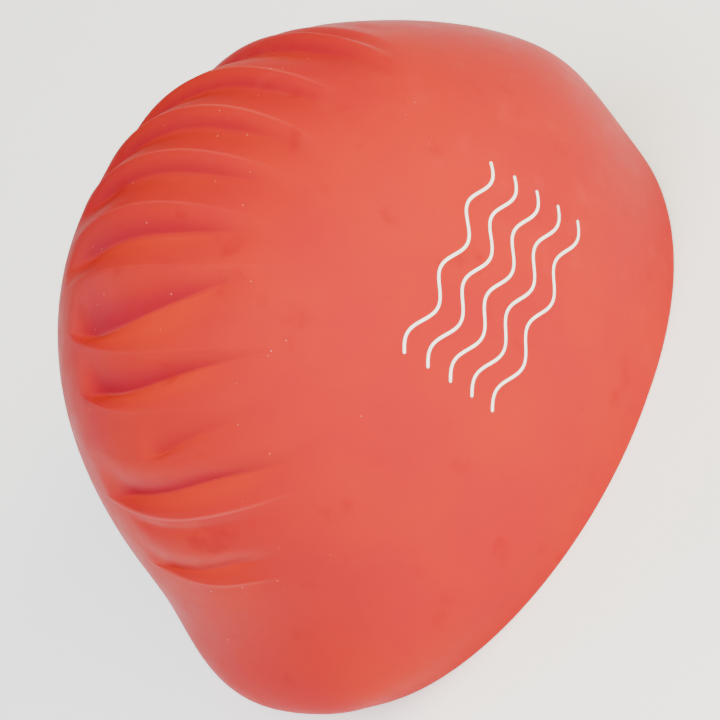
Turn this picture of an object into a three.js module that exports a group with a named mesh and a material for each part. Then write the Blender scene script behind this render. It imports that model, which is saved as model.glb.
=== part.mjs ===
import * as THREE from 'three';

// A pull-on silicone swim cap standing on its own rim.
// One moulded shell: the crown, the smooth sides, the gathered back and the plain trimmed rim.
// Millimetres, +Z up, brow towards -Y, nape towards +Y, the wearer's left towards +X.

// Opening
const RIM_LENGTH = 200;        // brow to nape across the opening
const RIM_WIDTH = 157;         // ear to ear across the opening
const RIM_TAPER = 0.04;        // share by which the opening is wider at the brow than at the nape
const BROW_RISE = 7;           // height of the arch in the front edge
const BROW_ARCH_POWER = 3;     // how soon that arch dies away towards the ears
const WALL = 1.3;              // thickness of the moulded shell

// Crown
const CAP_LENGTH = 208;        // front to back through the hub of the crown
const CAP_HEIGHT = 144;        // rim plane to the top of the full circle that the crown follows
const HUB_HEIGHT = 40;         // height of the hub that the crown profile turns about
const CROWN_PROFILE = [        // reach at equal turns about the hub, brow to nape, as shares of full size
  { reach: 0.976 },
  { reach: 0.928 },
  { reach: 0.942 },
  { reach: 0.962 },
  { reach: 0.995 },
  { reach: 0.990 },
  { reach: 0.957 },
  { reach: 0.971 },
];

// Sides
const EAR_HEIGHT = 35;         // height over each ear that the rows of the shell gather towards
const EAR_AIM = 0.72;          // how strongly the rows bend towards that height
const EAR_AIM_POWER = 4;       // an even number: the higher, the nearer to brow and nape they still bend
const FOOT_GATHER = 0.44;      // how far the rows crowd towards the ears along the rim, in radians
const FULLNESS_BROW = 0.17;    // roundness of the shoulders of the shell at the brow
const FULLNESS_NAPE = 0.12;    // the same at the nape

// Brow and nape
const BROW_FLARE = 0.9;        // outward turn of the front edge
const FLARE_REACH = 14;        // height over which that turn dies away
const NAPE_BULGE = 0.115;      // share by which the shell swells over the nape
const NAPE_HEIGHT = 22;        // height of the fullest part of that swell
const NAPE_SPREAD = 20;        // height over which it dies away

// Gathered folds across the back of the crown
// place: crest, as a share of the way from brow to nape
// depth: flute in front of that crest, as a share of FOLD_DEPTH
// low: lowest point of the flute, as a share of the way from the last crest to this one
// reach: where the fold dies away, as a share of the way from the midline to the rim
const FOLD_DEPTH = 3.4;
const FOLD_START = 0.265;
const FOLDS = [
  { place: 0.314, depth: 0.25, low: 0.50, reach: 0.36 },
  { place: 0.380, depth: 0.75, low: 0.45, reach: 0.38 },
  { place: 0.433, depth: 0.90, low: 0.47, reach: 0.40 },
  { place: 0.478, depth: 0.90, low: 0.52, reach: 0.38 },
  { place: 0.525, depth: 0.90, low: 0.46, reach: 0.38 },
  { place: 0.571, depth: 0.80, low: 0.60, reach: 0.34 },
  { place: 0.631, depth: 1.00, low: 0.55, reach: 0.35 },
  { place: 0.678, depth: 1.00, low: 0.57, reach: 0.35 },
  { place: 0.760, depth: 1.00, low: 0.78, reach: 0.42 },
  { place: 0.827, depth: 0.50, low: 0.78, reach: 0.32 },
  { place: 0.890, depth: 0.20, low: 0.55, reach: 0.28 },
];
const FALL_POWER = 1.8;        // above one, the flute falls gently from its crest and steeply at its low point
const RISE_POWER = 1.25;       // above one, it rises most steeply just after its low point
const FADE_START = 0.35;       // share of its reach over which a fold keeps its full depth

// Facets
const FRONT_ROWS = 17;
const BACK_ROWS = 9;
const FLUTE_STEPS = [0.3, 0.65, 1];   // rows on the way down a flute and again on the way up
const SIDE_COLUMNS = 14;
const COLUMN_BIAS = 0.25;      // draws the columns towards the folded middle
const PROBE_STEP = 1e-3;       // half the span over which a direction on the shell is measured

/** Natural cubic curve through equally spaced values; takes a share from 0 to 1. */
function naturalCurve(values) {
  const last = values.length - 1;
  const bend = new Array(last + 1).fill(0);
  const sweep = new Array(last + 1).fill(0);
  const rest = new Array(last + 1).fill(0);
  for (let i = 1; i < last; i += 1) {
    const pivot = 4 - sweep[i - 1];
    sweep[i] = 1 / pivot;
    rest[i] = (6 * (values[i - 1] - 2 * values[i] + values[i + 1]) - rest[i - 1]) / pivot;
  }
  for (let i = last - 1; i > 0; i -= 1) {
    bend[i] = rest[i] - sweep[i] * bend[i + 1];
  }
  return (share) => {
    const place = Math.min(Math.max(share, 0), 1) * last;
    const i = Math.min(Math.floor(place), last - 1);
    const b = place - i;
    const a = 1 - b;
    const arch = ((a ** 3 - a) * bend[i] + (b ** 3 - b) * bend[i + 1]) / 6;
    return a * values[i] + b * values[i + 1] + arch;
  };
}

/** Point of the rim at an angle from the brow, with x on the wearer's left. */
function rimPoint(angle) {
  const brow = Math.max(0, Math.cos(angle));
  const x = 0.5 * RIM_WIDTH * Math.sin(angle) * (1 + RIM_TAPER * Math.cos(angle));
  const y = -0.5 * RIM_LENGTH * Math.cos(angle);
  const z = BROW_RISE * brow ** BROW_ARCH_POWER;
  return new THREE.Vector3(x, y, z);
}

const crownRise = CAP_HEIGHT - HUB_HEIGHT;
const browEnd = new THREE.Vector2(RIM_LENGTH / CAP_LENGTH, (BROW_RISE - HUB_HEIGHT) / crownRise);
const napeEnd = new THREE.Vector2(-RIM_LENGTH / CAP_LENGTH, -HUB_HEIGHT / crownRise);
const browTurn = Math.atan2(browEnd.y, browEnd.x);
const napeTurn = Math.atan2(napeEnd.y, napeEnd.x) + 2 * Math.PI;
const crownReach = naturalCurve([
  browEnd.length(),
  ...CROWN_PROFILE.map((row) => row.reach),
  napeEnd.length(),
]);

/** Point of the crown line over the middle of the head. */
function crownPoint(row) {
  const turn = browTurn + (napeTurn - browTurn) * row;
  const reach = crownReach(row);
  const y = -0.5 * CAP_LENGTH * reach * Math.cos(turn);
  const z = HUB_HEIGHT + crownRise * reach * Math.sin(turn);
  return new THREE.Vector3(0, y, z);
}

/** Smooth shell without folds: row runs from brow to nape, side from -1 at one rim to 1 at the other. */
function smoothPoint(row, side) {
  const footAngle = Math.PI * row + FOOT_GATHER * Math.sin(2 * Math.PI * row);
  const top = crownPoint(row);
  const foot = rimPoint(footAngle);
  const aim = EAR_AIM * (1 - Math.cos(Math.PI * row) ** EAR_AIM_POWER);
  const bendY = top.y * (1 - aim);
  const bendZ = top.z + (EAR_HEIGHT - top.z) * aim;
  const angle = 0.5 * Math.PI * side;
  const drop = 1 - Math.cos(angle);
  const keep = Math.cos(angle);
  const napeShare = 0.5 * (1 - Math.cos(Math.PI * row));
  const fullness = FULLNESS_BROW + (FULLNESS_NAPE - FULLNESS_BROW) * napeShare;
  const spread = Math.sin(angle) + fullness * Math.sin(2 * angle);
  const point = new THREE.Vector3(
    foot.x * spread,
    keep ** 2 * top.y + 2 * drop * keep * bendY + drop ** 2 * foot.y,
    keep ** 2 * top.z + 2 * drop * keep * bendZ + drop ** 2 * foot.z,
  );
  const browShare = Math.max(0, Math.cos(footAngle)) ** 2;
  point.y -= BROW_FLARE * browShare * Math.exp(-Math.max(point.z - foot.z, 0) / FLARE_REACH);
  const swell = NAPE_BULGE * Math.max(0, -Math.cos(footAngle));
  const stretch = 1 + swell * Math.exp(-(((point.z - NAPE_HEIGHT) / NAPE_SPREAD) ** 2));
  point.x *= stretch;
  point.y *= stretch;
  return point;
}

/** Outward direction of the smooth shell, level along the rim so that its edge stays flat. */
function outward(row, side) {
  if (row === 0) return new THREE.Vector3(0, -1, 0);
  if (row === 1) return new THREE.Vector3(0, 1, 0);
  const alongRow = smoothPoint(row + PROBE_STEP, side).sub(smoothPoint(row - PROBE_STEP, side));
  if (Math.abs(side) === 1) {
    return new THREE.Vector3(alongRow.y, -alongRow.x, 0).multiplyScalar(side).normalize();
  }
  const acrossRow = smoothPoint(row, side + PROBE_STEP).sub(smoothPoint(row, side - PROBE_STEP));
  return acrossRow.cross(alongRow).normalize();
}

/** Depth of the folds below the smooth shell. */
function foldDepth(row, side) {
  let start = FOLD_START;
  for (const fold of FOLDS) {
    if (row > start && row < fold.place) {
      const share = (row - start) / (fold.place - start);
      const dip = share < fold.low
        ? (share / fold.low) ** FALL_POWER
        : ((1 - share) / (1 - fold.low)) ** RISE_POWER;
      const fade = 1 - THREE.MathUtils.smoothstep(Math.abs(side), FADE_START * fold.reach, fold.reach);
      return FOLD_DEPTH * fold.depth * dip * fade;
    }
    start = fold.place;
  }
  return 0;
}

/** Rows of the mesh, closest together where the folds are. */
function rowPlaces() {
  const places = [];
  for (let i = 0; i < FRONT_ROWS; i += 1) {
    places.push(FOLD_START * (i / FRONT_ROWS));
  }
  let start = FOLD_START;
  places.push(start);
  for (const fold of FOLDS) {
    const width = fold.place - start;
    for (const step of FLUTE_STEPS) {
      places.push(start + width * fold.low * step);
    }
    for (const step of FLUTE_STEPS.slice(1)) {
      places.push(start + width * (fold.low + (1 - fold.low) * step));
    }
    start = fold.place;
  }
  for (let i = 1; i <= BACK_ROWS; i += 1) {
    places.push(start + (1 - start) * (i / BACK_ROWS));
  }
  return places;
}

/** Columns of the mesh from one rim to the other. */
function columnPlaces() {
  const places = [];
  for (let i = -SIDE_COLUMNS; i <= SIDE_COLUMNS; i += 1) {
    const share = i / SIDE_COLUMNS;
    places.push(share * (1 - COLUMN_BIAS + COLUMN_BIAS * share * share));
  }
  return places;
}

/** Closed shell: an outer and an inner skin joined along the rim. */
function buildShell() {
  const rows = rowPlaces();
  const columns = columnPlaces();
  const positions = [];
  const triangles = [];
  const addPoint = (point) => {
    positions.push(point.x, point.y, point.z);
    return positions.length / 3 - 1;
  };
  const skins = [[], []];
  for (const row of rows) {
    const isTip = row === 0 || row === 1;
    const sides = isTip ? [1] : columns;
    const made = sides.map((side) => {
      const base = smoothPoint(row, side);
      const normal = outward(row, side);
      const depth = foldDepth(row, side);
      const outer = base.clone().addScaledVector(normal, -depth);
      const inner = base.clone().addScaledVector(normal, -depth - WALL);
      return [addPoint(outer), addPoint(inner)];
    });
    skins.forEach((skin, k) => {
      skin.push(columns.map((side, j) => made[isTip ? 0 : j][k]));
    });
  }
  const addTriangle = (a, b, c) => {
    if (a !== b && b !== c && c !== a) triangles.push(a, b, c);
  };
  const addQuad = (a, b, c, d) => {
    addTriangle(a, b, c);
    addTriangle(a, c, d);
  };
  const [outer, inner] = skins;
  for (let i = 0; i + 1 < rows.length; i += 1) {
    for (let j = 0; j + 1 < columns.length; j += 1) {
      addQuad(outer[i][j], outer[i][j + 1], outer[i + 1][j + 1], outer[i + 1][j]);
      addQuad(inner[i][j], inner[i + 1][j], inner[i + 1][j + 1], inner[i][j + 1]);
    }
    const end = columns.length - 1;
    addQuad(outer[i][0], outer[i + 1][0], inner[i + 1][0], inner[i][0]);
    addQuad(outer[i][end], inner[i][end], inner[i + 1][end], outer[i + 1][end]);
  }
  const geometry = new THREE.BufferGeometry();
  geometry.setAttribute('position', new THREE.Float32BufferAttribute(positions, 3));
  geometry.setIndex(triangles);
  return geometry;
}

/** Moves a shape so that the origin lies under the middle of its box. */
function standOnOrigin(geometry) {
  geometry.computeBoundingBox();
  const { min, max } = geometry.boundingBox;
  geometry.translate(-(min.x + max.x) / 2, -(min.y + max.y) / 2, -min.z);
  return geometry;
}

const silicone = new THREE.MeshStandardMaterial({ color: '#df5a49', roughness: 0.55, metalness: 0 });

const shell = new THREE.Mesh(standOnOrigin(buildShell()), silicone);
shell.name = 'cap_shell';
shell.geometry.computeVertexNormals();

const cap = new THREE.Group();
cap.add(shell);

export default cap;
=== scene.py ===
"""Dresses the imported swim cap: shell, raised wave print, air specks, floor, light and camera."""

import logging
import math
from dataclasses import dataclass
from enum import Enum
from typing import Sequence

import bmesh
import bpy
import numpy as np
from mathutils import Matrix, Vector


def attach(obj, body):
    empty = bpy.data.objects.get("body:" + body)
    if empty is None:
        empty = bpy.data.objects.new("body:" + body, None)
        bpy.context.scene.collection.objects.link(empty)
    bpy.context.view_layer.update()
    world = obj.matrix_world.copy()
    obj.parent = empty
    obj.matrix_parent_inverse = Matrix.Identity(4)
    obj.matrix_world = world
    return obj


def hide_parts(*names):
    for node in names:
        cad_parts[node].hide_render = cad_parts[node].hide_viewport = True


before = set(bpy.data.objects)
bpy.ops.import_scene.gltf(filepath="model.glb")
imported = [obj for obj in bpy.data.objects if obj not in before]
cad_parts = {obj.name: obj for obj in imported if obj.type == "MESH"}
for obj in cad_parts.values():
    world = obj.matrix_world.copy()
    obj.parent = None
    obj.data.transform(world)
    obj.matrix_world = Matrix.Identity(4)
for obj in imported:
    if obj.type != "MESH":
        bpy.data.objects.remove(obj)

LOG = logging.getLogger("swim_cap")
MM = 0.001
CAD_NODE = "cap_shell"

# Small step in rows or sides, over which a direction is taken
STEP = 1e-3
# Least length that a direction is divided by
TINY = 1e-12
# Side from which the outward direction turns level towards the rim
LEVEL_FROM = 0.97
SMOOTH = {"interpolation_type": "SMOOTHSTEP"}

Tree = bpy.types.NodeTree
Socket = bpy.types.NodeSocket
Triple = tuple[float, float, float]
Colour = tuple[float, float, float, float]


class Slot(Enum):
    """Material slots of the record."""

    SILICONE = "silicone"
    PRINT = "print"


class Ink(Enum):
    """Colours of the object and the studio, as sRGB hex values."""

    BODY = "9F1A20"
    BODY_WARM = "A4221A"
    # Painted shade: darker red washed over the falling slopes of the folds
    BODY_PAINTED_SHADE = "8E0E25"
    # Painted light: brighter orange washed over the rising slopes of the folds
    BODY_LIT = "B32A18"
    # Darker red for touched spots, and for painted shade towards the brow
    BODY_DEEP_SMUDGE_AND_SHADE = "941317"
    # Pale pink of stretched silicone, for the bubble skins and for the crest lines, where it is partly a
    # painted highlight
    STRETCHED_AND_HIGHLIGHT = "BC5450"
    DUST = "AC3630"
    SPECK = "BC4A42"
    PRINT = "FAF8F6"
    PRINT_THIN = "EFE6E2"
    FLOOR = "F4F4F3"


def linear(colour: Ink) -> Colour:
    """Turns an sRGB hex colour into linear RGBA.

    Args:
        colour: Named colour.

    Returns:
        Linear red, green, blue and an alpha of one.
    """
    parts = [int(colour.value[i:i + 2], 16) / 255 for i in (0, 2, 4)]
    made = [c / 12.92 if c <= 0.04045 else ((c + 0.055) / 1.055) ** 2.4 for c in parts]
    return made[0], made[1], made[2], 1.0


def smoothstep(value: np.ndarray, low: float, high: float) -> np.ndarray:
    """Smooth climb from 0 at low to 1 at high."""
    share = np.clip((value - low) / (high - low), 0.0, 1.0)
    return share * share * (3.0 - 2.0 * share)


@dataclass(frozen=True)
class CapForm:
    """Driving sizes of the shell in millimetres, the same as in the part's source."""

    rim_length: float = 200.0
    rim_width: float = 157.0
    rim_taper: float = 0.04
    brow_rise: float = 7.0
    brow_arch_power: float = 3.0
    wall: float = 1.3
    cap_length: float = 208.0
    cap_height: float = 144.0
    hub_height: float = 40.0
    crown_profile: tuple[float, ...] = (0.976, 0.928, 0.942, 0.962, 0.995, 0.990, 0.957, 0.971)
    ear_height: float = 35.0
    ear_aim: float = 0.72
    ear_aim_power: int = 4
    foot_gather: float = 0.44
    fullness_brow: float = 0.17
    fullness_nape: float = 0.12
    brow_flare: float = 0.9
    flare_reach: float = 14.0
    nape_bulge: float = 0.115
    nape_height: float = 22.0
    nape_spread: float = 20.0


@dataclass(frozen=True)
class Flute:
    """One hollow of the gathered back and the crest that ends it.

    Attributes:
        crest: Row of the crest at the middle of the head.
        depth: Greatest depth in millimetres.
        low_near: Lowest line at the near end, as a share of the way from the last crest to this one.
        low_far: The same at the far end.
        near: Side at which it dies away towards the wearer's right.
        far: Side at which it dies away towards the wearer's left.
        bow_near: How far the crest has moved towards the nape at its near end, in rows.
        bow_far: The same at its far end.
        fall: Power of the way down from the last crest.
        rise: Power of the way up to this crest.
        soft: Rounding of the lowest line, small for a sharp crease.
        bead: Strength of the thin line along the crest, raised a little and painted pale, partly as stretched
            silicone and partly as a painted highlight.
        bow_stop: Greatest share of bow_far that the crest takes on towards the far end.
        low_turn: Power of the lowest line's way from low_near to low_far.
    """

    crest: float
    depth: float
    low_near: float
    low_far: float
    near: float
    far: float
    bow_near: float = 0.0
    bow_far: float = 0.0
    fall: float = 1.5
    rise: float = 1.2
    soft: float = 0.28
    bead: float = 1.0
    bow_stop: float = 2.5
    low_turn: float = 1.0


# Columns in the order of the fields, from the brow to the nape
FLUTES: tuple[Flute, ...] = (
    Flute(0.290, 0.30, 0.50, 0.50, 0.27, 0.22, bead=0.25),
    Flute(0.311, 1.60, 0.70, 0.65, 0.30, 0.36, 0.003, 0.000, 1.4, 1.2, 0.25, 0.6),
    Flute(0.380, 4.80, 0.22, 0.40, 0.35, 0.40, 0.004, 0.016, 1.6, 1.2, 0.25, 0.9),
    Flute(0.429, 4.40, 0.30, 0.38, 0.37, 0.36, 0.013, 0.014, 1.6, 1.2, 0.25, 0.9),
    Flute(0.475, 4.20, 0.36, 0.40, 0.36, 0.29, 0.008, 0.015, 1.6, 1.2, 0.24, 0.7),
    Flute(0.521, 4.10, 0.33, 0.38, 0.36, 0.25, 0.007, 0.018, 1.6, 1.2, 0.22, 0.5),
    Flute(0.570, 4.20, 0.32, 0.62, 0.34, 0.20, -0.009, 0.010, 1.5, 1.1, 0.12, 0.25, 1.2),
    Flute(0.632, 4.80, 0.02, 1.04, 0.33, 0.145, 0.000, -0.021, 1.4, 1.0, 0.05, 0.2, 0.9),
    Flute(0.676, 4.50, 0.02, 1.00, 0.34, 0.12, 0.001, -0.024, 1.2, 1.3, 0.05, 0.2, 0.9),
    Flute(0.713, 2.40, 0.02, 1.08, 0.34, -0.02, 0.000, -0.016, 1.2, 1.6, 0.10, 0.0, 0.9),
    Flute(0.763, 4.40, 0.40, 1.00, 0.40, 0.17, -0.006, -0.017, 1.7, 1.0, 0.04, 1.0, 2.5, 2.0),
    Flute(0.795, 1.20, 0.30, 0.34, 0.38, 0.12, 0.000, -0.016, 1.2, 2.0, 0.20, 0.0),
    Flute(0.829, 2.50, 0.40, 1.10, 0.30, 0.17, 0.002, -0.020, 1.7, 1.0, 0.12, 0.9, 2.5, 2.0),
)


@dataclass(frozen=True)
class Gather:
    """What all folds have in common, in rows and sides of the shell.

    Attributes:
        start: Row where the first hollow starts.
        middle: Side from which the crests bow.
        bow_span: Distance from the middle at which a crest has its whole bow.
        bow_most: Greatest share of its bow at a near end.
        crest_gap: Least distance between two crests.
        low_least: Least share of a hollow at which its lowest line lies.
        low_most: Greatest share at which it lies.
        soft_least: Least rounding of a lowest line.
        whole_near: Share of the near end at which a hollow has its whole depth.
        whole_far: Share of the far end at which it starts to die away.
        fade_least: Least distance over which it dies away there.
        turn_width: Half width of the change from falling to rising slope, as a share of a hollow.
        turn_soft: How much of the rounding is added to that.
        line_spread: Half width of the line along a crest, stretched silicone and painted highlight.
        line_widen: How much wider it gets where it dies away, as a share.
        line_lift: Height of the line in millimetres.
        line_start: Share of the near end at which the line begins.
        line_whole: Side at which it has its whole strength.
        line_end: Share of the far end at which it is gone.
    """

    start: float = 0.262
    middle: float = -0.08
    bow_span: float = 0.26
    bow_most: float = 2.5
    crest_gap: float = 1e-4
    low_least: float = 0.08
    low_most: float = 0.93
    soft_least: float = 0.02
    whole_near: float = 0.30
    whole_far: float = 0.5
    fade_least: float = 0.06
    turn_width: float = 0.02
    turn_soft: float = 0.4
    line_spread: float = 0.0010
    line_widen: float = 1.6
    line_lift: float = 0.10
    line_start: float = 1.05
    line_whole: float = -0.05
    line_end: float = 1.6


class CapSurface:
    """Outer surface of the cap over rows from brow to nape and sides from right rim to left rim."""

    def __init__(self, form: CapForm, flutes: Sequence[Flute], gather: Gather) -> None:
        """Keeps the sizes and solves the crown profile once.

        Args:
            form: Driving sizes.
            flutes: Hollows of the gathered back, from brow to nape.
            gather: What all hollows have in common.
        """
        self.form = form
        self.flutes = tuple(flutes)
        self.gather = gather
        rise = form.cap_height - form.hub_height
        brow = (form.rim_length / form.cap_length, (form.brow_rise - form.hub_height) / rise)
        nape = (-form.rim_length / form.cap_length, -form.hub_height / rise)
        self.turns = (math.atan2(brow[1], brow[0]), math.atan2(nape[1], nape[0]) + 2.0 * math.pi)
        self.reaches = np.array([math.hypot(*brow), *form.crown_profile, math.hypot(*nape)])
        self.bends = self._bends(self.reaches)
        self.shift = np.zeros(3)

    @staticmethod
    def _bends(values: np.ndarray) -> np.ndarray:
        """Second derivatives of the natural cubic curve through equally spaced values.

        Args:
            values: Values that the curve goes through.

        Returns:
            Its second derivative at each of them.
        """
        count = len(values)
        system = np.eye(count)
        right = np.zeros(count)
        for i in range(1, count - 1):
            system[i, i - 1:i + 2] = (1.0, 4.0, 1.0)
            right[i] = 6.0 * (values[i - 1] - 2.0 * values[i] + values[i + 1])
        return np.linalg.solve(system, right)

    def _reach(self, row: np.ndarray) -> np.ndarray:
        """Reach of the crown line about its hub.

        Args:
            row: Places from brow to nape.

        Returns:
            The reach as a share of full size.
        """
        place = np.clip(row, 0.0, 1.0) * (len(self.reaches) - 1)
        i = np.minimum(place.astype(int), len(self.reaches) - 2)
        b = place - i
        a = 1.0 - b
        arch = ((a ** 3 - a) * self.bends[i] + (b ** 3 - b) * self.bends[i + 1]) / 6.0
        return a * self.reaches[i] + b * self.reaches[i + 1] + arch

    def smooth(self, row: np.ndarray, side: np.ndarray) -> tuple[np.ndarray, np.ndarray]:
        """Points of the shell without its folds.

        Args:
            row: Places from nought at the brow to one at the nape.
            side: Places from minus one at the right rim to one at the left rim.

        Returns:
            The points in millimetres, and the height of the rim below each of them.
        """
        f = self.form
        foot_angle = math.pi * row + f.foot_gather * np.sin(2.0 * math.pi * row)
        turn = self.turns[0] + (self.turns[1] - self.turns[0]) * row
        reach = self._reach(row)
        top_y = -0.5 * f.cap_length * reach * np.cos(turn)
        top_z = f.hub_height + (f.cap_height - f.hub_height) * reach * np.sin(turn)
        ahead = np.cos(foot_angle)
        foot_x = 0.5 * f.rim_width * np.sin(foot_angle) * (1.0 + f.rim_taper * ahead)
        foot_y = -0.5 * f.rim_length * ahead
        foot_z = f.brow_rise * np.maximum(0.0, ahead) ** f.brow_arch_power
        aim = f.ear_aim * (1.0 - np.cos(math.pi * row) ** f.ear_aim_power)
        bend_y = top_y * (1.0 - aim)
        bend_z = top_z + (f.ear_height - top_z) * aim
        angle = 0.5 * math.pi * side
        keep = np.cos(angle)
        drop = 1.0 - keep
        nape_share = 0.5 * (1.0 - np.cos(math.pi * row))
        fullness = f.fullness_brow + (f.fullness_nape - f.fullness_brow) * nape_share
        x = foot_x * (np.sin(angle) + fullness * np.sin(2.0 * angle))
        y = keep ** 2 * top_y + 2.0 * drop * keep * bend_y + drop ** 2 * foot_y
        z = keep ** 2 * top_z + 2.0 * drop * keep * bend_z + drop ** 2 * foot_z
        flare = np.exp(-np.maximum(z - foot_z, 0.0) / f.flare_reach)
        y = y - f.brow_flare * np.maximum(0.0, ahead) ** 2 * flare
        swell = f.nape_bulge * np.maximum(0.0, -ahead)
        stretch = 1.0 + swell * np.exp(-((z - f.nape_height) / f.nape_spread) ** 2)
        return np.stack([x * stretch, y * stretch, z], axis=-1), foot_z

    def outward(self, row: np.ndarray, side: np.ndarray) -> np.ndarray:
        """Outward directions of the smooth shell, level along the rim.

        Args:
            row: Places from brow to nape.
            side: Places from right rim to left rim.

        Returns:
            Directions of length one.
        """
        rows = np.clip(row, STEP, 1.0 - STEP)
        along = self.smooth(rows + STEP, side)[0] - self.smooth(rows - STEP, side)[0]
        sides = np.clip(side, -1.0 + STEP, 1.0 - STEP)
        across = self.smooth(rows, sides + STEP)[0] - self.smooth(rows, sides - STEP)[0]
        normal = np.cross(across, along)
        level = np.stack([along[..., 1], -along[..., 0], np.zeros_like(row)], axis=-1)
        level = level * np.sign(side)[..., None]
        on_rim = smoothstep(np.abs(side), LEVEL_FROM, 1.0)[..., None]
        normal /= np.maximum(np.linalg.norm(normal, axis=-1, keepdims=True), TINY)
        level /= np.maximum(np.linalg.norm(level, axis=-1, keepdims=True), TINY)
        mixed = normal * (1.0 - on_rim) + level * on_rim
        tip = (row <= 0.0) | (row >= 1.0)
        flat = np.zeros(tip.sum())
        mixed[tip] = np.stack([flat, np.where(row[tip] <= 0.0, -1.0, 1.0), flat], -1)
        return mixed / np.linalg.norm(mixed, axis=-1, keepdims=True)

    def crests(self, side: np.ndarray) -> np.ndarray:
        """Rows of the fold start and of each crest.

        Args:
            side: Sides of the columns.

        Returns:
            One line of rows for the fold start and one for each crest.
        """
        gather = self.gather
        away = side - gather.middle
        bow = (away / gather.bow_span) ** 2
        lines = [np.full_like(side, gather.start)]
        for flute in self.flutes:
            near = flute.bow_near * np.minimum(bow, gather.bow_most)
            far = flute.bow_far * np.minimum(bow, flute.bow_stop)
            lines.append(flute.crest + np.where(away < 0.0, near, far))
        made = np.stack(lines)
        return np.maximum.accumulate(made + gather.crest_gap * np.arange(len(made))[:, None], axis=0)


@dataclass(frozen=True)
class ShellGrid:
    """Counts and tolerances of the shell's mesh.

    Attributes:
        front_rows: Rows in front of the folds.
        flute_rows: Rows over each hollow.
        back_rows: Rows behind the folds.
        back_power: Power that draws those rows towards the last crest.
        outer_columns: Columns of the outer skin.
        inner_columns: Columns of the inner skin.
        crowding: How much closer the columns lie over the middle, as a share.
        rim_steps: Steps round the trimmed edge.
        weld: Distance in metres below which points are joined.
        sliver: Length in metres below which an edge is dissolved.
    """

    front_rows: int = 84
    flute_rows: int = 30
    back_rows: int = 46
    back_power: float = 1.15
    outer_columns: int = 132
    inner_columns: int = 36
    crowding: float = 0.28
    rim_steps: int = 6
    weld: float = 2e-6
    sliver: float = 1e-7


@dataclass(frozen=True)
class Marks:
    """Where slopes catch the light and where air specks lie, in rows and sides of the shell.

    Attributes:
        full_slope: Depth in millimetres that counts as a full slope.
        lit_rows: Rows between which the rising slopes come to catch the light.
        lit_least: Share of it that they catch before those rows.
        lit_sides: Sides between which they turn away from it.
        lit_loss: Share that they lose there.
        speck_start: Rows between which the specks set in.
        speck_end: Rows between which they stop.
        speck_reach: Distances from the middle line between which they stop.
    """

    full_slope: float = 4.5
    lit_rows: tuple[float, float] = (0.50, 0.60)
    lit_least: float = 0.45
    lit_sides: tuple[float, float] = (0.03, 0.14)
    lit_loss: float = 0.5
    speck_start: tuple[float, float] = (0.28, 0.36)
    speck_end: tuple[float, float] = (0.86, 0.93)
    speck_reach: tuple[float, float] = (0.30, 0.55)

    # Painted shade and painted light: these slopes tint the silicone's colour on the fold walls
    def slopes(self, rows: np.ndarray, side: np.ndarray, shades: np.ndarray) -> np.ndarray:
        """Falling slopes above nought and rising slopes below, one being a full slope.

        Args:
            rows: Rows of the points.
            side: Sides of the columns.
            shades: Fold depths, counted below nought on the rising slopes.

        Returns:
            A slope for each point.
        """
        lit = self.lit_least + (1.0 - self.lit_least) * smoothstep(rows, *self.lit_rows)
        lit = lit * (1.0 - self.lit_loss * smoothstep(side, *self.lit_sides))
        return np.where(shades < 0.0, shades * lit, shades) / self.full_slope

    def specks(self, rows: np.ndarray, side: np.ndarray) -> np.ndarray:
        """Share of the air specks over the skin.

        Args:
            rows: Rows of the points.
            side: Sides of the columns.

        Returns:
            A share for each point.
        """
        share = smoothstep(rows, *self.speck_start) * (1.0 - smoothstep(rows, *self.speck_end))
        away = np.abs(np.broadcast_to(side, rows.shape))
        return share * (1.0 - smoothstep(away, *self.speck_reach))


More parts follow.
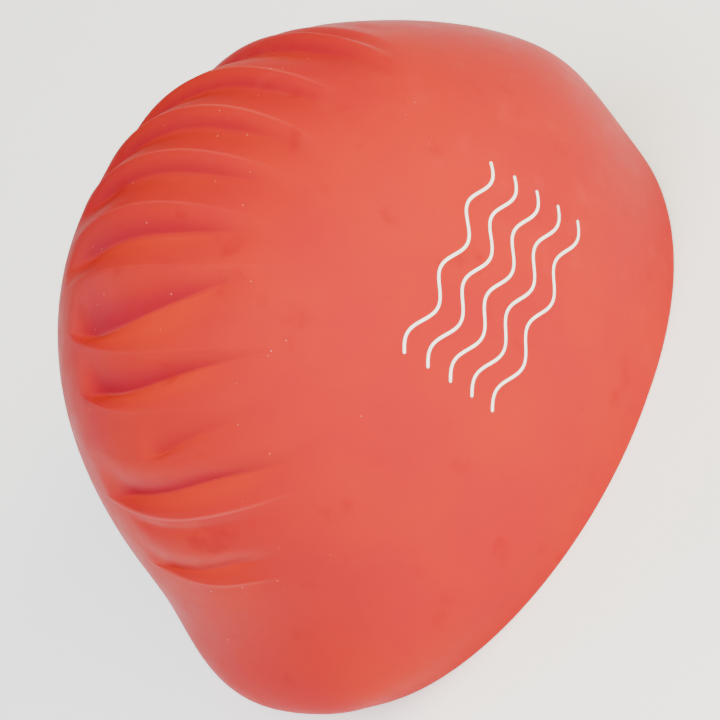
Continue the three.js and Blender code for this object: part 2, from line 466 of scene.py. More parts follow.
class MouldedShell:
    """The whole cap: crown, sides, folds, trimmed rim and the inside of the shell."""

    def __init__(self, surface: CapSurface, grid: ShellGrid, marks: Marks) -> None:
        """Keeps what the shell is made from.

        Args:
            surface: The cap's surface.
            grid: Counts of the mesh.
            marks: Where slopes catch the light and where specks lie.
        """
        self.surface = surface
        self.grid = grid
        self.marks = marks

    def _shares(self, flute: Flute, side: np.ndarray, phase: np.ndarray) -> np.ndarray:
        """Places of the mesh rows over one hollow, the middle one on its lowest line.

        Args:
            flute: The hollow.
            side: Sides of the columns.
            phase: Even steps over the hollow.

        Returns:
            Shares of the way from the last crest to this one.
        """
        gather = self.surface.gather
        span = np.clip((side + flute.near) / (flute.near + flute.far), 0.0, 1.0)
        low = flute.low_near + (flute.low_far - flute.low_near) * span ** flute.low_turn
        low = np.clip(low, gather.low_least, gather.low_most)
        return np.where(phase < 0.5, 2.0 * phase * low, low + (1.0 - low) * (2.0 * phase - 1.0))

    def _depth(self, flute: Flute, side: np.ndarray, phase: np.ndarray) -> tuple[np.ndarray, np.ndarray]:
        """Depth of one hollow.

        Args:
            flute: The hollow.
            side: Sides of the columns.
            phase: Even steps over the hollow.

        Returns:
            Depths in millimetres, and the same counted below nought on the slope that climbs.
        """
        gather = self.surface.gather
        down = (2.0 * phase) ** flute.fall
        up = (2.0 - 2.0 * phase) ** flute.rise
        soft = max(flute.soft, gather.soft_least)
        dip = -soft * np.log(np.exp(-down / soft) + np.exp(-up / soft))
        start = min(gather.whole_far * flute.far, flute.far - gather.fade_least)
        fade = smoothstep(side, -flute.near, -gather.whole_near * flute.near)
        fade = fade * (1.0 - smoothstep(side, start, flute.far))
        depth = flute.depth * dip * fade
        turn = gather.turn_width + gather.turn_soft * soft
        return depth, depth * (1.0 - 2.0 * smoothstep(phase, 0.5 - turn, 0.5 + turn))

    def _line(self, flute: Flute, side: np.ndarray) -> tuple[np.ndarray, np.ndarray]:
        """Line along the crest that ends one hollow, raised a little and painted pale, partly as stretched
        silicone and partly as a painted highlight.

        Args:
            flute: The hollow.
            side: Sides of the columns.

        Returns:
            Strengths of the line, and its half widths in rows.
        """
        gather = self.surface.gather
        strength = smoothstep(side, -gather.line_start * flute.near, gather.line_whole)
        gone = smoothstep(side, flute.far, gather.line_end * abs(flute.far))
        spread = gather.line_spread * (1.0 + gather.line_widen - gather.line_widen * strength)
        return flute.bead * strength * (1.0 - gone), spread

    def _folded_rows(self, side: np.ndarray) -> tuple[np.ndarray, ...]:
        """Rows of the mesh over the given sides, following every crest and every lowest line.

        Args:
            side: Sides of the columns.

        Returns:
            Rows, fold depths in millimetres, crest strengths and the depths again, counted below
            nought on the slope that climbs to the next crest, each with a line per row.
        """
        crest = self.surface.crests(side)
        front = np.linspace(0.0, 1.0, self.grid.front_rows, endpoint=False)[:, None] * crest[0]
        flat = np.zeros_like(front)
        rows, depths, beads, shades = [front], [flat], [flat], [flat]
        phase = np.linspace(0.0, 1.0, self.grid.flute_rows, endpoint=False)[:, None]
        last_bead = np.zeros_like(side)
        last_spread = np.full_like(side, self.surface.gather.line_spread)
        for i, flute in enumerate(self.surface.flutes):
            width = crest[i + 1] - crest[i]
            share = self._shares(flute, side, phase)
            depth, shade = self._depth(flute, side, phase)
            bead, spread = self._line(flute, side)
            behind = last_bead * np.exp(-(share * width / last_spread) ** 2)
            rows.append(crest[i] + share * width)
            depths.append(depth)
            shades.append(shade)
            beads.append(behind + bead * np.exp(-((1.0 - share) * width / spread) ** 2))
            last_bead, last_spread = bead, spread
        end = np.linspace(0.0, 1.0, self.grid.back_rows + 1)[:, None] ** self.grid.back_power
        back = crest[-1] + (1.0 - crest[-1]) * end
        rows.append(back)
        depths.append(np.zeros_like(back))
        shades.append(np.zeros_like(back))
        beads.append(last_bead * np.exp(-((back - crest[-1]) / last_spread) ** 2))
        return np.concatenate(rows), np.concatenate(depths), np.concatenate(beads), np.concatenate(shades)

    def _skin(self, side: np.ndarray, below: float) -> tuple[np.ndarray, ...]:
        """One skin of the shell on a grid of rows and columns.

        Args:
            side: Sides of the columns.
            below: Distance below the outer surface in millimetres.

        Returns:
            Points, fold depths signed by slope, crest strengths and rows.
        """
        rows, depths, beads, shades = self._folded_rows(side)
        sides = np.broadcast_to(side, rows.shape)
        points, foot_z = self.surface.smooth(rows, sides)
        lift = self.surface.gather.line_lift * beads - depths - below
        points = points + self.surface.outward(rows, sides) * lift[..., None]
        radius = 0.5 * self.surface.form.wall
        height = np.maximum(points[..., 2] - foot_z, 0.0)
        points[..., 2] = foot_z + np.sqrt(height ** 2 + radius ** 2)
        return points, shades, beads, rows

    def _columns(self, count: int) -> np.ndarray:
        """Sides of the columns, a little closer together over the folded middle."""
        share = np.linspace(-1.0, 1.0, count + 1)
        return share * (1.0 - self.grid.crowding + self.grid.crowding * share * share)

    def _edge(self, outer: np.ndarray, inner: np.ndarray) -> list[np.ndarray]:
        """Rounded trimmed edge between the skins, along the right rim and then the left.

        Args:
            outer: Points of the outer skin.
            inner: Points of the inner skin.

        Returns:
            One line of points for each step of each rim.
        """
        radius = 0.5 * self.surface.form.wall
        edge = []
        for column in (0, -1):
            out, into = outer[:, column], inner[:, column]
            middle, half = (out + into) / 2, (out - into) / 2
            for k in range(1, self.grid.rim_steps):
                angle = math.pi * k / self.grid.rim_steps
                point = middle + half * math.cos(angle)
                point[:, 2] -= radius * math.sin(angle)
                edge.append(point)
        return edge

    def _faces(self, count: int, wide: int, slim: int) -> np.ndarray:
        """Quads of both skins and of the edge between them.

        Args:
            count: Number of rows.
            wide: Points across the outer skin.
            slim: Points across the inner skin.

        Returns:
            Four point numbers for each quad.
        """
        steps = self.grid.rim_steps - 1
        outer = np.arange(count * wide).reshape(count, wide)
        inner = count * wide + np.arange(count * slim).reshape(count, slim)
        edge = count * (wide + slim) + np.arange(count * 2 * steps).reshape(2 * steps, count)
        right = np.stack([outer[:, 0], *edge[:steps], inner[:, 0]], 1)
        left = np.stack([outer[:, -1], *edge[steps:], inner[:, -1]], 1)
        sheets = (outer, inner[:, ::-1], right[:, ::-1], left)
        return np.concatenate([self._quads(ids) for ids in sheets])

    @staticmethod
    def _quads(ids: np.ndarray) -> np.ndarray:
        """Quads of a grid of point numbers, row by row."""
        corners = (ids[:-1, :-1], ids[:-1, 1:], ids[1:, 1:], ids[1:, :-1])
        return np.stack([corner.ravel() for corner in corners], axis=-1)

    def build(self) -> bpy.types.Object:
        """Makes the shell as one closed mesh standing on the floor.

        Returns:
            The mesh object, with the attributes that its material reads.
        """
        outer_side = self._columns(self.grid.outer_columns)
        inner_side = self._columns(self.grid.inner_columns)
        outer, shades, beads, rows = self._skin(outer_side, 0.0)
        inner = self._skin(inner_side, self.surface.form.wall)[0]
        lows, highs = outer.reshape(-1, 3).min(0), outer.reshape(-1, 3).max(0)
        self.surface.shift = np.array([-(lows[0] + highs[0]) / 2, -(lows[1] + highs[1]) / 2, 0.0])
        lines = [outer.reshape(-1, 3), inner.reshape(-1, 3), *self._edge(outer, inner)]
        points = np.concatenate(lines) + self.surface.shift
        faces = self._faces(outer.shape[0], outer.shape[1], inner.shape[1])
        mesh = bpy.data.meshes.new("moulded_shell")
        mesh.from_pydata((points * MM).tolist(), [], faces.tolist())
        # The slope attribute carries the painted shade and painted light of the fold slopes
        self._store(mesh, "slope", self.marks.slopes(rows, outer_side, shades))
        self._store(mesh, "crest", beads)
        self._store(mesh, "from_brow", rows)
        self._store(mesh, "speck_share", self.marks.specks(rows, outer_side))
        piece = bpy.data.objects.new("moulded_shell", mesh)
        bpy.context.scene.collection.objects.link(piece)
        self._close(mesh)
        return piece

    @staticmethod
    def _store(mesh: bpy.types.Mesh, name: str, values: np.ndarray) -> None:
        """Writes one number per point of the outer skin for the material, and nought elsewhere.

        Args:
            mesh: The shell's mesh, whose first points are the outer skin's.
            name: Name of the attribute.
            values: Numbers of the outer skin.
        """
        numbers = np.zeros(len(mesh.vertices), np.float32)
        numbers[:values.size] = values.ravel()
        mesh.attributes.new(name, "FLOAT", "POINT").data.foreach_set("value", numbers)

    def _close(self, mesh: bpy.types.Mesh) -> None:
        """Joins the points that meet at brow and nape, and shades the mesh smooth.

        Args:
            mesh: The shell's mesh.
        """
        work = bmesh.new()
        work.from_mesh(mesh)
        bmesh.ops.remove_doubles(work, verts=work.verts, dist=self.grid.weld)
        bmesh.ops.dissolve_degenerate(work, edges=work.edges, dist=self.grid.sliver)
        open_edges = sum(1 for e in work.edges if len(e.link_faces) != 2)
        bmesh.ops.recalc_face_normals(work, faces=work.faces)
        work.to_mesh(mesh)
        work.free()
        mesh.shade_smooth()
        LOG.info("moulded_shell: %d open edges", open_edges)


def add_node(
    tree: Tree, kind: str, settings: dict | None = None, inputs: dict | None = None
) -> bpy.types.Node:
    """Adds a node with its settings, constant inputs and links.

    Args:
        tree: Node tree to add to.
        kind: Node type name.
        settings: Properties of the node by name.
        inputs: Values, or output sockets to link from, by input name or number.

    Returns:
        The new node.
    """
    node = tree.nodes.new(kind)
    for name, value in (settings or {}).items():
        setattr(node, name, value)
    for key, value in (inputs or {}).items():
        if isinstance(value, bpy.types.NodeSocket):
            tree.links.new(value, node.inputs[key])
        else:
            node.inputs[key].default_value = value
    return node


@dataclass(frozen=True)
class Climb:
    """Climb from bottom at low to top at high.

    Attributes:
        low: Value where it starts.
        high: Value where it ends, also below low.
        top: What it ends with.
        bottom: What it starts with.
    """

    low: float
    high: float
    top: float = 1.0
    bottom: float = 0.0

    def inputs(self, value: Socket) -> dict:
        """What a node takes in to put a value through the climb."""
        limits = {"From Min": self.low, "From Max": self.high, "To Min": self.bottom, "To Max": self.top}
        return {"Value": value, **limits}


@dataclass(frozen=True)
class Mottle:
    """Unevenness with features of a real size.

    Attributes:
        size_mm: Size of its features in millimetres.
        detail: Number of finer layers in it.
        rough: Strength of each finer layer.
    """

    size_mm: float
    detail: float
    rough: float = 0.5

    def inputs(self, place: Socket) -> dict:
        """What a node takes in to lay the unevenness over places in metres."""
        scale = 1.0 / (self.size_mm * MM)
        return {"Vector": place, "Scale": scale, "Detail": self.detail, "Roughness": self.rough}


Steps = Sequence[tuple[Socket, Climb]]


def share_of(tree: Tree, steps: Steps) -> Socket:
    """Share that one value or several give together.

    Args:
        tree: Node tree to add to.
        steps: Values, each with its smooth climb.

    Returns:
        The product of the climbs.
    """
    made = 1.0
    for value, climb in steps:
        share = add_node(tree, "ShaderNodeMapRange", SMOOTH, climb.inputs(value)).outputs["Result"]
        made = add_node(tree, "ShaderNodeMath", {"operation": "MULTIPLY"}, {0: made, 1: share}).outputs[0]
    return made


def washed(tree: Tree, base: Ink, washes: Sequence[tuple[Ink, Steps]]) -> Socket:
    """Colour with other colours washed over it, one after the other.

    Args:
        tree: Node tree to add to.
        base: Colour below.
        washes: Colours, each with what gives its share.

    Returns:
        The colour on top.
    """
    colour = linear(base)
    for ink, steps in washes:
        inputs = {0: share_of(tree, steps), 6: colour, 7: linear(ink)}
        colour = add_node(tree, "ShaderNodeMix", {"data_type": "RGBA"}, inputs).outputs[2]
    return colour


def new_material(name: str) -> tuple[bpy.types.Material, Tree, bpy.types.Node, Socket]:
    """Starts a node material.

    Args:
        name: Name of the material.

    Returns:
        The material, its tree, its shader and the Object coordinates.
    """
    made = bpy.data.materials.new(name)
    made.use_nodes = True
    tree = made.node_tree
    place = add_node(tree, "ShaderNodeTexCoord").outputs["Object"]
    return made, tree, tree.nodes["Principled BSDF"], place


def plain_mesh(piece: bpy.types.Object, name: str) -> bpy.types.Object:
    """Turns the evaluated piece into a plain, smoothly shaded mesh object and takes its source away.

    Args:
        piece: Object with a node modifier.
        name: Name of the plain object.

    Returns:
        The plain object.
    """
    graph = bpy.context.evaluated_depsgraph_get()
    mesh = bpy.data.meshes.new_from_object(piece.evaluated_get(graph), depsgraph=graph)
    mesh.name = name
    mesh.shade_smooth()
    bpy.data.objects.remove(piece)
    made = bpy.data.objects.new(name, mesh)
    bpy.context.scene.collection.objects.link(made)
    return made


def with_nodes(piece: bpy.types.Object, group: Tree, values: dict[str, object]) -> None:
    """Puts a geometry node group on a piece and sets its inputs by their identifiers.

    Args:
        piece: Object that gets the modifier.
        group: Geometry node group.
        values: Input values by socket name.
    """
    modifier = piece.modifiers.new(group.name, "NODES")
    modifier.node_group = group
    for item in group.interface.items_tree:
        if item.item_type == "SOCKET" and item.in_out == "INPUT" and item.name in values:
            modifier[item.identifier] = values[item.name]


def new_group(name: str, inputs: dict[str, str]) -> tuple[Tree, bpy.types.Node, bpy.types.Node]:
    """Starts a geometry node group with named inputs.

    Args:
        name: Name of the group.
        inputs: Socket types by input name.

    Returns:
        The group, its input node and its output node.
    """
    group = bpy.data.node_groups.new(name, "GeometryNodeTree")
    group.interface.new_socket("Geometry", in_out="INPUT", socket_type="NodeSocketGeometry")
    for label, kind in inputs.items():
        group.interface.new_socket(label, in_out="INPUT", socket_type=kind)
    group.interface.new_socket("Geometry", in_out="OUTPUT", socket_type="NodeSocketGeometry")
    return group, group.nodes.new("NodeGroupInput"), group.nodes.new("NodeGroupOutput")


def finish_group(group: Tree, start: bpy.types.Node, end: bpy.types.Node, made: Socket) -> None:
    """Ends a geometry node group with real geometry that has its material.

    Args:
        group: The group.
        start: Its input node, which has a Material socket.
        end: Its output node.
        made: Geometry that the group has made.
    """
    real = add_node(group, "GeometryNodeRealizeInstances", {}, {"Geometry": made}).outputs[0]
    inputs = {"Geometry": real, "Material": start.outputs["Material"]}
    dressed = add_node(group, "GeometryNodeSetMaterial", {}, inputs)
    group.links.new(dressed.outputs[0], end.inputs[0])


@dataclass(frozen=True)
class WavePrint:
    """Raised white wave lines screen-printed on the wearer's right side.

    Attributes:
        lines: Number of lines, all of one length.
        row: Row of the middle of the print.
        side: Side of the middle of the print.
        length_mm: Length of each line.
        gap_mm: Distance between lines.
        swing_mm: Height of a wave above its middle line.
        wave_mm: Length of one wave.
        width_mm: Width of the ink line.
        height_mm: Whole thickness of the ink, half of it sunk in.
        steps: Points along each line.
        end_steps: Points round each end of a line.
        ring_steps: Points round a line.
        end_least: Square of the least girth at an end.
        rounds: Rounds of finding a point's place on the shell.
    """

    lines: int = 5
    row: float = 0.50
    side: float = -0.665
    length_mm: float = 64.0
    gap_mm: float = 8.0
    swing_mm: float = 2.2
    wave_mm: float = 21.3
    width_mm: float = 0.95
    height_mm: float = 0.22
    steps: int = 96
    end_steps: int = 6
    ring_steps: int = 12
    end_least: float = 0.0004
    rounds: int = 8

    def _group(self) -> Tree:
        """Makes the node group that sweeps a flat ink line along each edge path.

        Returns:
            The group.
        """
        sockets = {"Width": "NodeSocketFloat", "Height": "NodeSocketFloat", "Material": "NodeSocketMaterial"}
        group, start, end = new_group("ink_lines", sockets)
        path = add_node(group, "GeometryNodeMeshToCurve", {}, {"Mesh": start.outputs["Geometry"]})
        held = {}
        for name, kind in (("outward", "FLOAT_VECTOR"), ("girth", "FLOAT")):
            node = add_node(group, "GeometryNodeInputNamedAttribute", {"data_type": kind}, {"Name": name})
            held[name] = node.outputs["Attribute"]
        inputs = {"Curve": path.outputs[0], "Normal": held["outward"]}
        turned = add_node(group, "GeometryNodeSetCurveNormal", {"mode": "FREE"}, inputs)
        inputs = {"Resolution": self.ring_steps, "Radius": 0.5}
        ring = add_node(group, "GeometryNodeCurvePrimitiveCircle", {"mode": "RADIUS"}, inputs)
        inputs = {"X": start.outputs["Height"], "Y": start.outputs["Width"], "Z": 1.0}
        size = add_node(group, "ShaderNodeCombineXYZ", {}, inputs)
        inputs = {"Geometry": ring.outputs[0], "Scale": size.outputs[0]}
        flat = add_node(group, "GeometryNodeTransform", {}, inputs)
        inputs = {"Curve": turned.outputs[0], "Profile Curve": flat.outputs[0]}
        inputs |= {"Scale": held["girth"], "Fill Caps": True}
        ink = add_node(group, "GeometryNodeCurveToMesh", {}, inputs)
        finish_group(group, start, end, ink.outputs[0])
        return group

    def _along(self) -> tuple[np.ndarray, np.ndarray]:
        """Places of the points along a line, closer together at its rounded ends.

        Returns:
            Shares of the line's length from its middle, and the girth at each.
        """
        tip = 0.5 * self.width_mm / self.length_mm
        cap = tip * np.sin(np.linspace(0.5 * math.pi, 0.0, self.end_steps, endpoint=False))
        middle = np.linspace(-0.5 + tip, 0.5 - tip, self.steps - 2 * self.end_steps)
        share = np.concatenate([-0.5 + tip - cap, middle, 0.5 - tip + cap[::-1]])
        past = np.maximum(np.abs(share) - 0.5 + tip, 0.0) / tip
        return share, np.sqrt(np.clip(1.0 - past ** 2, self.end_least, 1.0))

    def build(self, surface: CapSurface, material: bpy.types.Material) -> bpy.types.Object:
        """Lays the wave lines on the shell.

        Args:
            surface: The cap's surface.
            material: Ink of the lines.

        Returns:
            The finished lines as one plain mesh.
        """
        share, girth = self._along()
        along = share * self.length_mm
        points, normals, edges = [], [], []
        for line in range(self.lines):
            offset = (line - 0.5 * (self.lines - 1)) * self.gap_mm
            up = offset + self.swing_mm * np.sin(2.0 * math.pi * along / self.wave_mm)
            row, side = self._place(surface, along, up)
            points.append(surface.smooth(row, side)[0] + surface.shift)
            normals.append(surface.outward(row, side))
            first = line * self.steps
            edges += [(first + i, first + i + 1) for i in range(self.steps - 1)]
        mesh = bpy.data.meshes.new("wave_paths")
        mesh.from_pydata((np.concatenate(points) * MM).tolist(), edges, [])
        outward = mesh.attributes.new("outward", "FLOAT_VECTOR", "POINT")
        outward.data.foreach_set("vector", np.concatenate(normals).astype(np.float32).ravel())
        scale = mesh.attributes.new("girth", "FLOAT", "POINT")
        scale.data.foreach_set("value", np.tile(girth, self.lines).astype(np.float32))
        carrier = bpy.data.objects.new("wave_paths", mesh)
        bpy.context.scene.collection.objects.link(carrier)
        values = {"Width": self.width_mm * MM, "Height": self.height_mm * MM, "Material": material}
        with_nodes(carrier, self._group(), values)
        return plain_mesh(carrier, "wave_print")

    def _place(self, surface: CapSurface, along: np.ndarray, up: np.ndarray) -> tuple[np.ndarray, np.ndarray]:
        """Finds points of the shell by their distances along and across the print.

        Args:
            surface: The cap's surface.
            along: Distances from the print's middle towards the nape in millimetres.
            up: Distances from its middle towards the crown in millimetres.

        Returns:
            Rows and sides of the points.
        """
        row, side = np.full_like(along, self.row), np.full_like(along, self.side)
        middle = surface.smooth(row[:1], side[:1])[0][0]
        ahead = (surface.smooth(row[:1] + STEP, side[:1])[0][0] - middle) / STEP
        outward = surface.outward(row[:1], side[:1])[0]
        ahead = ahead - outward * np.dot(ahead, outward)
        ahead /= np.linalg.norm(ahead)
        across = np.cross(ahead, outward)
        across *= np.sign(across[2])
        axes = np.stack([ahead, across])
        goal = np.stack([along, up], axis=-1)
        for _ in range(self.rounds):
            here = surface.smooth(row, side)[0] - middle
            by_row = (surface.smooth(row + STEP, side)[0] - middle - here) / STEP
            by_side = (surface.smooth(row, side + STEP)[0] - middle - here) / STEP
            jacobian = np.stack([by_row @ axes.T, by_side @ axes.T], axis=-1)
            move = np.linalg.solve(jacobian, (goal - here @ axes.T)[..., None])[..., 0]
            row, side = row + move[:, 0], side + move[:, 1]
        return row, side


@dataclass(frozen=True)
class AirSpecks:
    """Tiny air bubbles that the mould has left just under the skin.

    Attributes:
        density: Bubbles per square metre where they are allowed.
        radius_mm: Radius of the largest bubble.
        smallest: Size of the smallest bubble, as a share of the largest.
        flatness: Height of a bubble, as a share of its width.
        fineness: How often the faces of a bubble are divided.
        seed: Fixed seed of the scatter.
        size_seed: Fixed seed of the sizes.
    """

    density: float = 2200.0
    radius_mm: float = 0.28
    smallest: float = 0.45
    flatness: float = 0.35
    fineness: int = 2
    seed: int = 7
    size_seed: int = 3

    def _group(self) -> Tree:
        """Makes the node group that scatters flat little domes over the faces that it is given.

        Returns:
            The group.
        """
        sockets = {"Density": "NodeSocketFloat", "Radius": "NodeSocketFloat", "Seed": "NodeSocketInt"}
        group, start, end = new_group("air_specks", {**sockets, "Material": "NodeSocketMaterial"})
        kind = {"data_type": "FLOAT"}
        where = add_node(group, "GeometryNodeInputNamedAttribute", kind, {"Name": "speck_share"})
        inputs = {0: where.outputs["Attribute"], 1: start.outputs["Density"]}
        count = add_node(group, "ShaderNodeMath", {"operation": "MULTIPLY"}, inputs)
        inputs = {"Mesh": start.outputs["Geometry"], "Density": count.outputs[0]}
        inputs["Seed"] = start.outputs["Seed"]
        points = add_node(group, "GeometryNodeDistributePointsOnFaces", {}, inputs)
        inputs = {"Radius": start.outputs["Radius"], "Subdivisions": self.fineness}
        dome = add_node(group, "GeometryNodeMeshIcoSphere", {}, inputs)
        inputs = {"Geometry": dome.outputs[0], "Scale": (1.0, 1.0, self.flatness)}
        flat = add_node(group, "GeometryNodeTransform", {}, inputs)
        inputs = {2: self.smallest, 3: 1.0, "Seed": self.size_seed}
        size = add_node(group, "FunctionNodeRandomValue", kind, inputs)
        inputs = {"Points": points.outputs["Points"], "Instance": flat.outputs[0]}
        inputs |= {"Rotation": points.outputs["Rotation"], "Scale": size.outputs[1]}
        spread = add_node(group, "GeometryNodeInstanceOnPoints", {}, inputs)
        finish_group(group, start, end, spread.outputs[0])
        return group

    def build(self, shell: bpy.types.Object, material: bpy.types.Material) -> bpy.types.Object:
        """Scatters the bubbles over the folded back of the crown.

        Args:
            shell: The finished shell, whose attributes say where bubbles lie.
            material: Material of the bubbles.

        Returns:
            The bubbles as one plain mesh.
        """
        carrier = bpy.data.objects.new("speck_carrier", shell.data.copy())
        bpy.context.scene.collection.objects.link(carrier)
        values = {"Density": self.density, "Radius": self.radius_mm * MM, "Seed": self.seed}
        with_nodes(carrier, self._group(), {**values, "Material": material})
        return plain_mesh(carrier, "air_specks")


@dataclass(frozen=True)
class SatinSilicone:
    """Moulded silicone rubber, satin from the blasted mould.

    The pigment lies right through it, so it is one strong orange red with a soft wide gloss. Over a crest it
    pales, partly as stretched silicone and partly as a painted highlight. Falling slopes of the hollows carry
    painted shade, rising slopes painted light, and the colour is painted deeper towards the brow as shade.
    Handling leaves faint dusty patches and darker touched spots. The rim and the lit folds shine less than
    the crown.

    Attributes:
        patch: Faint patches.
        dust: Dusty marks.
        smudge: Darker touched spots.
        grain: The mould's fine grain.
        patch_warm: How the patches turn the colour warmer.
        slope_painted_shade: How falling slopes are painted deeper, as painted shade in the hollows.
        slope_lit: How rising slopes are painted brighter, as painted light.
        brow_painted_shade: How the colour is painted deeper towards the brow, as painted shade.
        smudge_deep: How the touched spots darken it.
        brow_handled: How the dusty marks gather towards the brow.
        dust_pale: How they pale it.
        crest_pale_and_highlight: How a crest pales it, partly as stretched silicone and partly as a painted
            highlight.
        roughness: Roughness between and on the dusty marks.
        gloss: Strength of the reflection from the rim up, with heights in metres.
        fold_dull: How the folds in front lose it.
        slope_dull: How rising slopes lose it.
        grain_bump: Strength of the grain and its height in metres.
        dust_bump: The same of the dusty marks.
        ior: Refractive index of silicone.
        tint: Colour of the reflection, warm from the pigment.
        depth: Share of the light that goes into the sheet.
        depth_reach: How far it goes, in metres.
        depth_colour: How far red, green and blue go, as shares of that.
    """

    patch: Mottle = Mottle(38.0, 3.0, 0.55)
    dust: Mottle = Mottle(9.0, 5.0, 0.6)
    smudge: Mottle = Mottle(11.0, 3.0)
    grain: Mottle = Mottle(0.5, 2.0)
    patch_warm: Climb = Climb(0.30, 0.72)
    slope_painted_shade: Climb = Climb(0.05, 0.9, 0.85)
    slope_lit: Climb = Climb(-0.05, -0.7, 0.72)
    brow_painted_shade: Climb = Climb(0.36, 0.10, 0.8)
    smudge_deep: Climb = Climb(0.60, 0.76, 0.6)
    brow_handled: Climb = Climb(0.60, 0.20)
    dust_pale: Climb = Climb(0.50, 0.72, 0.3)
    crest_pale_and_highlight: Climb = Climb(0.05, 1.0, 0.42)
    roughness: Climb = Climb(0.3, 0.7, 0.53, 0.41)
    gloss: Climb = Climb(0.004, 0.045, 0.08, 0.01)
    fold_dull: Climb = Climb(0.60, 0.50, 0.85)
    slope_dull: Climb = Climb(-0.35, -0.02)
    grain_bump: tuple[float, float] = (0.12, 0.00004)
    dust_bump: tuple[float, float] = (0.2, 0.0003)
    ior: float = 1.43
    tint: Colour = (1.0, 0.45, 0.35, 1.0)
    depth: float = 0.10
    depth_reach: float = 0.0022
    depth_colour: Triple = (1.0, 0.28, 0.16)

    def material(self) -> bpy.types.Material:
        """Builds the node material.

        Returns:
            The material.
        """
        made, tree, shader, place = new_material("satin_silicone")
        patch, dust, smudge, grain = (
            add_node(tree, "ShaderNodeTexNoise", {}, mottle.inputs(place)).outputs[0]
            for mottle in (self.patch, self.dust, self.smudge, self.grain)
        )
        crest, slope, brow, folded = (
            add_node(tree, "ShaderNodeAttribute", {"attribute_name": name}).outputs["Fac"]
            for name in ("crest", "slope", "from_brow", "speck_share")
        )
        washes = (
            (Ink.BODY_WARM, [(patch, self.patch_warm)]),
            # Painted shade on the falling slopes of the folds
            (Ink.BODY_PAINTED_SHADE, [(slope, self.slope_painted_shade)]),
            # Painted light on the rising slopes of the folds
            (Ink.BODY_LIT, [(slope, self.slope_lit)]),
            # Painted shade: the colour deepens towards the brow
            (Ink.BODY_DEEP_SMUDGE_AND_SHADE, [(brow, self.brow_painted_shade)]),
            (Ink.BODY_DEEP_SMUDGE_AND_SHADE, [(smudge, self.smudge_deep)]),
            (Ink.DUST, [(brow, self.brow_handled), (dust, self.dust_pale)]),
            # Partly stretched silicone, partly a painted highlight along the crests
            (Ink.STRETCHED_AND_HIGHLIGHT, [(crest, self.crest_pale_and_highlight)]),
        )
        tree.links.new(washed(tree, Ink.BODY, washes), shader.inputs["Base Color"])
        rough = add_node(tree, "ShaderNodeMapRange", {}, self.roughness.inputs(dust))
        tree.links.new(rough.outputs["Result"], shader.inputs["Roughness"])
        inputs = {"Height": grain, "Strength": self.grain_bump[0], "Distance": self.grain_bump[1]}
        fine = add_node(tree, "ShaderNodeBump", {}, inputs).outputs[0]
        inputs = {"Height": dust, "Strength": self.dust_bump[0], "Distance": self.dust_bump[1]}
        wide = add_node(tree, "ShaderNodeBump", {}, {**inputs, "Normal": fine})
        tree.links.new(wide.outputs[0], shader.inputs["Normal"])
        height = add_node(tree, "ShaderNodeSeparateXYZ", {}, {0: place}).outputs["Z"]
        whole = share_of(tree, [(height, self.gloss), (slope, self.slope_dull)])
        inputs = {0: folded, 1: share_of(tree, [(brow, self.fold_dull)])}
        dull = add_node(tree, "ShaderNodeMath", {"operation": "MULTIPLY"}, inputs).outputs[0]
        kept = add_node(tree, "ShaderNodeMath", {"operation": "SUBTRACT"}, {0: 1.0, 1: dull}).outputs[0]
        level = add_node(tree, "ShaderNodeMath", {"operation": "MULTIPLY"}, {0: whole, 1: kept})
        tree.links.new(level.outputs[0], shader.inputs["Specular IOR Level"])
        shader.inputs["IOR"].default_value = self.ior
        shader.inputs["Specular Tint"].default_value = self.tint
        shader.inputs["Subsurface Weight"].default_value = self.depth
        shader.inputs["Subsurface Radius"].default_value = self.depth_colour
        shader.inputs["Subsurface Scale"].default_value = self.depth_reach
        return made


@dataclass(frozen=True)
class PlainFinish:
    """Even finish of two close colours that change over one unevenness.

    Attributes:
        name: Name of the material.
        base: Its colour.
        other: Colour that it changes to.
        mottle: Unevenness that says where.
        change: How the unevenness does it.
        roughness: Roughness of the surface.
    """

    name: str
    base: Ink
    other: Ink
    mottle: Mottle
    change: Climb
    roughness: float

    def material(self) -> bpy.types.Material:
        """Builds the node material.

        Returns:
            The material.
        """
        made, tree, shader, place = new_material(self.name)
        pattern = add_node(tree, "ShaderNodeTexNoise", {}, self.mottle.inputs(place)).outputs[0]
        colour = washed(tree, self.base, [(self.other, [(pattern, self.change)])])
        tree.links.new(colour, shader.inputs["Base Color"])
        shader.inputs["Roughness"].default_value = self.roughness
        return made


# White silicone screen ink, cured on the shell: matt and very slightly uneven
SCREEN_INK = PlainFinish("screen_ink", Ink.PRINT, Ink.PRINT_THIN, Mottle(1.5, 3.0), Climb(0.35, 0.75), 0.55)
# Silicone drawn thin over an air bubble: paler and a little glossier than the shell
BUBBLE_SKIN = PlainFinish("bubble_skin", Ink.SPECK, Ink.STRETCHED_AND_HIGHLIGHT, Mottle(6.0, 2.0), Climb(0.4, 0.6), 0.38)


@dataclass(frozen=True)
class Lamp:
    """Soft round lamp that looks at the cap.

    Attributes:
        name: Name of the lamp.
        towards: Direction from the cap to the lamp.
        distance: Distance from the cap in metres.
        size: Width of the lamp in metres.
        power: Power in watts.
        colour: Linear colour of the light.
        target: Point that it looks at in metres.
    """

    name: str
    towards: Triple
    distance: float
    size: float
    power: float
    colour: Triple
    target: Triple = (0.0, 0.0, 0.07)

    def build(self) -> None:
        """Adds the lamp to the scene."""
        data = bpy.data.lights.new(self.name, "AREA")
        data.shape = "DISK"
        data.size = self.size
        data.energy = self.power
        data.color = self.colour
        lamp = bpy.data.objects.new(self.name, data)
        way = Vector(self.towards).normalized()
        turn = (-way).to_track_quat("-Z", "Y").to_matrix().to_4x4()
        lamp.matrix_world = Matrix.Translation(Vector(self.target) + way * self.distance) @ turn
        bpy.context.scene.collection.objects.link(lamp)


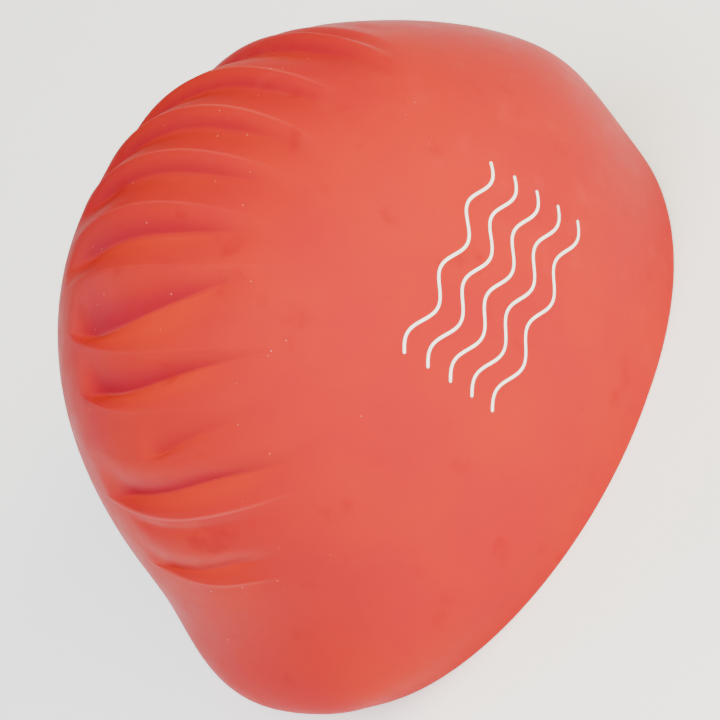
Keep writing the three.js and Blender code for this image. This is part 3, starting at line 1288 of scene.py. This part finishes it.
LAMPS: tuple[Lamp, ...] = (
    Lamp("key", (-0.76, -0.48, 0.44), 1.5, 0.8, 31.5, (1.0, 0.92, 0.46)),
    Lamp("front", (-0.79, 0.10, 0.60), 1.6, 1.1, 23.5, (1.0, 0.96, 0.78)),
    Lamp("top", (-0.34, 0.38, 0.86), 1.6, 1.2, 25.0, (1.0, 0.98, 0.97)),
    Lamp("nape", (-0.30, 0.90, 0.32), 1.6, 1.2, 15.0, (0.78, 0.80, 1.0)),
    Lamp("side", (-0.90, 0.30, 0.12), 1.6, 1.3, 11.0, (0.92, 0.90, 1.0)),
    Lamp("back", (0.80, 0.30, 0.50), 1.6, 1.2, 18.0, (0.80, 0.80, 1.0)),
)


@dataclass(frozen=True)
class Studio:
    """Pale floor, even room light, soft lamps and the camera.

    Attributes:
        azimuth: Camera's turn about the cap in degrees.
        elevation: Camera's height above the horizon in degrees.
        roll: Turn of the picture in degrees.
        distance: Camera's distance from its aim in metres.
        aim: Point at the middle of the picture in metres.
        lens: Focal length in millimetres.
        sensor: Width of the sensor in millimetres.
        clip: Nearest and farthest distance that the camera sees, in metres.
        room_light: Strength of the even light.
        room_colour: Its linear colour.
        floor_half: Half the width of the floor in metres.
        floor_cloud: Unevenness of the floor's gloss, with three features to a metre.
        floor_rough: Least and greatest roughness of the floor.
        floor_glow: Light that the floor gives off by itself.
    """

    azimuth: float = -115.7
    elevation: float = 35.95
    roll: float = 53.8
    distance: float = 1.0
    aim: Triple = (0.0069, 0.0, 0.0376)
    lens: float = 164.4
    sensor: float = 36.0
    clip: tuple[float, float] = (0.05, 30.0)
    room_light: float = 0.24
    room_colour: Colour = (1.0, 0.98, 1.0, 1.0)
    floor_half: float = 4.0
    floor_cloud: Mottle = Mottle(1000.0 / 3.0, 2.0)
    floor_rough: tuple[float, float] = (0.75, 0.85)
    floor_glow: float = 0.85

    def camera(self) -> None:
        """Makes the camera at the photographed angle."""
        data = bpy.data.cameras.new("camera")
        data.lens = self.lens
        data.sensor_width = self.sensor
        data.clip_start, data.clip_end = self.clip
        camera = bpy.data.objects.new("camera", data)
        a, e = math.radians(self.azimuth), math.radians(self.elevation)
        back = Vector((math.sin(a) * math.cos(e), -math.cos(a) * math.cos(e), math.sin(e)))
        turn = (-back).to_track_quat("-Z", "Y").to_matrix().to_4x4()
        spin = Matrix.Rotation(-math.radians(self.roll), 4, "Z")
        camera.matrix_world = Matrix.Translation(Vector(self.aim) + back * self.distance) @ turn @ spin
        bpy.context.scene.collection.objects.link(camera)
        bpy.context.scene.camera = camera

    def floor(self) -> None:
        """Lays the plain pale floor."""
        mesh = bpy.data.meshes.new("floor")
        half = self.floor_half
        corners = [(-half, -half, 0.0), (half, -half, 0.0), (half, half, 0.0), (-half, half, 0.0)]
        mesh.from_pydata(corners, [], [(0, 1, 2, 3)])
        made, tree, shader, place = new_material("pale_floor")
        cloud = add_node(tree, "ShaderNodeTexNoise", {}, self.floor_cloud.inputs(place)).outputs[0]
        limits = {"To Min": self.floor_rough[0], "To Max": self.floor_rough[1]}
        rough = add_node(tree, "ShaderNodeMapRange", {}, {"Value": cloud, **limits})
        tree.links.new(rough.outputs["Result"], shader.inputs["Roughness"])
        shader.inputs["Base Color"].default_value = linear(Ink.FLOOR)
        shader.inputs["Emission Color"].default_value = linear(Ink.FLOOR)
        shader.inputs["Emission Strength"].default_value = self.floor_glow
        mesh.materials.append(made)
        piece = bpy.data.objects.new("floor", mesh)
        bpy.context.scene.collection.objects.link(piece)

    def surround(self) -> None:
        """Fills the room with even light."""
        world = bpy.data.worlds.new("surround")
        world.use_nodes = True
        background = world.node_tree.nodes["Background"]
        background.inputs["Color"].default_value = self.room_colour
        background.inputs["Strength"].default_value = self.room_light
        bpy.context.scene.world = world

    def build(self) -> None:
        """Sets up floor, light and camera."""
        self.floor()
        self.surround()
        for lamp in LAMPS:
            lamp.build()
        self.camera()


def finish_piece(piece: bpy.types.Object, material: bpy.types.Material | None) -> None:
    """Gives a piece its slot, and its material if it has none, and lets it ride on the one body.

    Args:
        piece: The finished piece.
        material: Its material, or None where it has one.
    """
    if material is not None:
        piece.data.materials.clear()
        piece.data.materials.append(material)
    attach(piece, "root")
    piece.data.calc_loop_triangles()
    LOG.info("%s: %d triangles", piece.name, len(piece.data.loop_triangles))


def main() -> None:
    """Builds the pieces in order and reports each of them."""
    logging.basicConfig(level=logging.INFO, format="%(name)s: %(message)s")
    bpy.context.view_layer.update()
    surface = CapSurface(CapForm(), FLUTES, Gather())
    shell = MouldedShell(surface, ShellGrid(), Marks()).build()
    finish_piece(shell, SatinSilicone().material())
    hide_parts(CAD_NODE)
    finish_piece(WavePrint().build(surface, SCREEN_INK.material()), None)
    finish_piece(AirSpecks().build(shell, BUBBLE_SKIN.material()), None)
    Studio().build()


if __name__ == "__main__":
    main()
